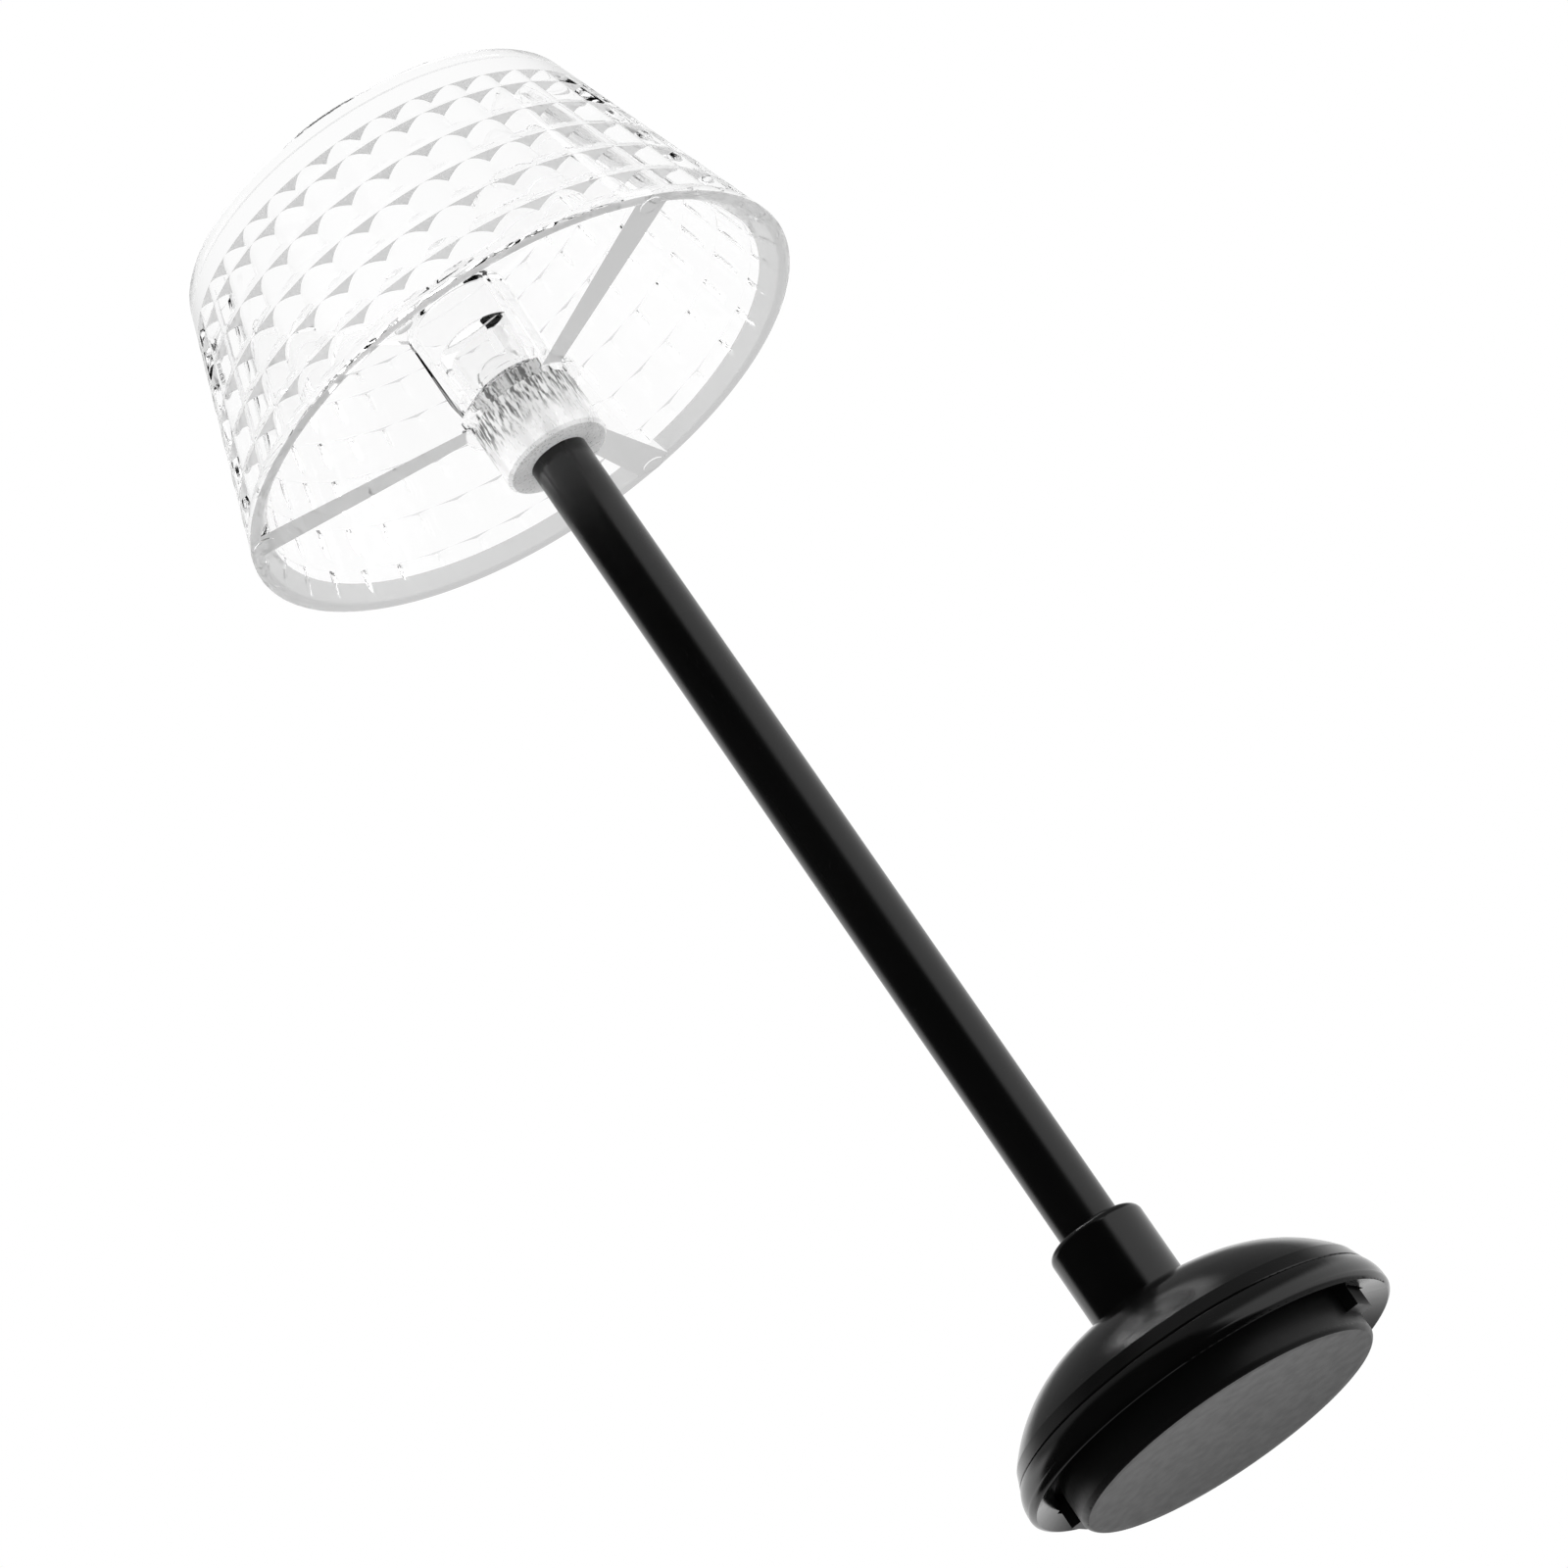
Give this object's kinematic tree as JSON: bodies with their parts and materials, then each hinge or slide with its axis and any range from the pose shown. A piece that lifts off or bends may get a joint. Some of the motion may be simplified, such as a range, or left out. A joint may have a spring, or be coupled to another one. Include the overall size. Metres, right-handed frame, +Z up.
{
  "type": "mini battery table lamp",
  "caption": "Small battery table lamp with a clear faceted conical shade on three fins, a slim straight post and a domed round base with a press button underneath.",
  "frame": {"origin": "centre of the press button's face, on the surface the lamp stands on", "axes": "+Z up along the post towards the shade; the shade's front-right fin is at -45 degrees from +X"},
  "size_m": [0.065, 0.065, 0.1596],
  "materials": {
    "clear_plastic": "clear moulded plastic, polished",
    "frosted_plastic": "frosted clear plastic, finely scratched",
    "black_metal": "satin black lacquer",
    "black_plastic": "glossy black moulding",
    "button_plastic": "satin black moulding",
    "inner_plastic": "dark grey moulding",
    "white_plastic": "white moulding",
    "led_resin": "warm white lens",
    "steel": "bright",
    "nickel": "nickel plated",
    "wire_red": "red insulation",
    "wire_black": "black insulation",
    "board_green": "solder mask"
  },
  "bodies": {
    "root": {"neck_collar": "frosted_plastic", "post_tube": "black_metal", "led_diffuser": "clear_plastic", "led": "led_resin", "led_leads": "nickel", "led_holder": "white_plastic", "wire_red": "wire_red", "wire_black": "wire_black", "base_shell": "black_plastic", "return_spring": "steel", "battery_tray": "inner_plastic", "battery_door": "inner_plastic", "tray_screws": "steel", "button_cell_1": "nickel", "button_cell_2": "nickel", "button_cell_3": "nickel", "link_top": "nickel", "link_bottom": "nickel", "contact_positive": "nickel", "contact_negative": "nickel", "switch_body": "inner_plastic", "circuit_board": "board_green", "resistor": "inner_plastic"},
    "shade": {"shade": "clear_plastic"},
    "ring": {"bottom_ring": "black_plastic"},
    "button": {"press_button": "button_plastic"},
    "plunger": {"switch_plunger": "white_plastic"}
  },
  "joints": [
    {"name": "ring_twist", "type": "hinge", "parent": "root", "child": "ring", "pos_m": [0, 0, 0.0046], "axis": [0, 0, 1], "range_deg": [0, 25]},
    {"name": "button_press", "type": "slide", "parent": "ring", "child": "button", "axis": [0, 0, 1], "range_m": [0, 0.0013], "stiffness_N_per_m": 600, "springref_m": -0.0015, "deforming": ["return_spring"]},
    {"name": "plunger_press", "type": "slide", "parent": "root", "child": "plunger", "axis": [0, 0, 1], "range_m": [0, 0.0013]},
    {"name": "shade_lift", "type": "slide", "parent": "root", "child": "shade", "axis": [0, 0, 1], "range_m": [0, 0.012]}
  ],
  "couplings": [
    {"joint": "plunger_press", "follows": "button_press", "ratio": 1}
  ]
}
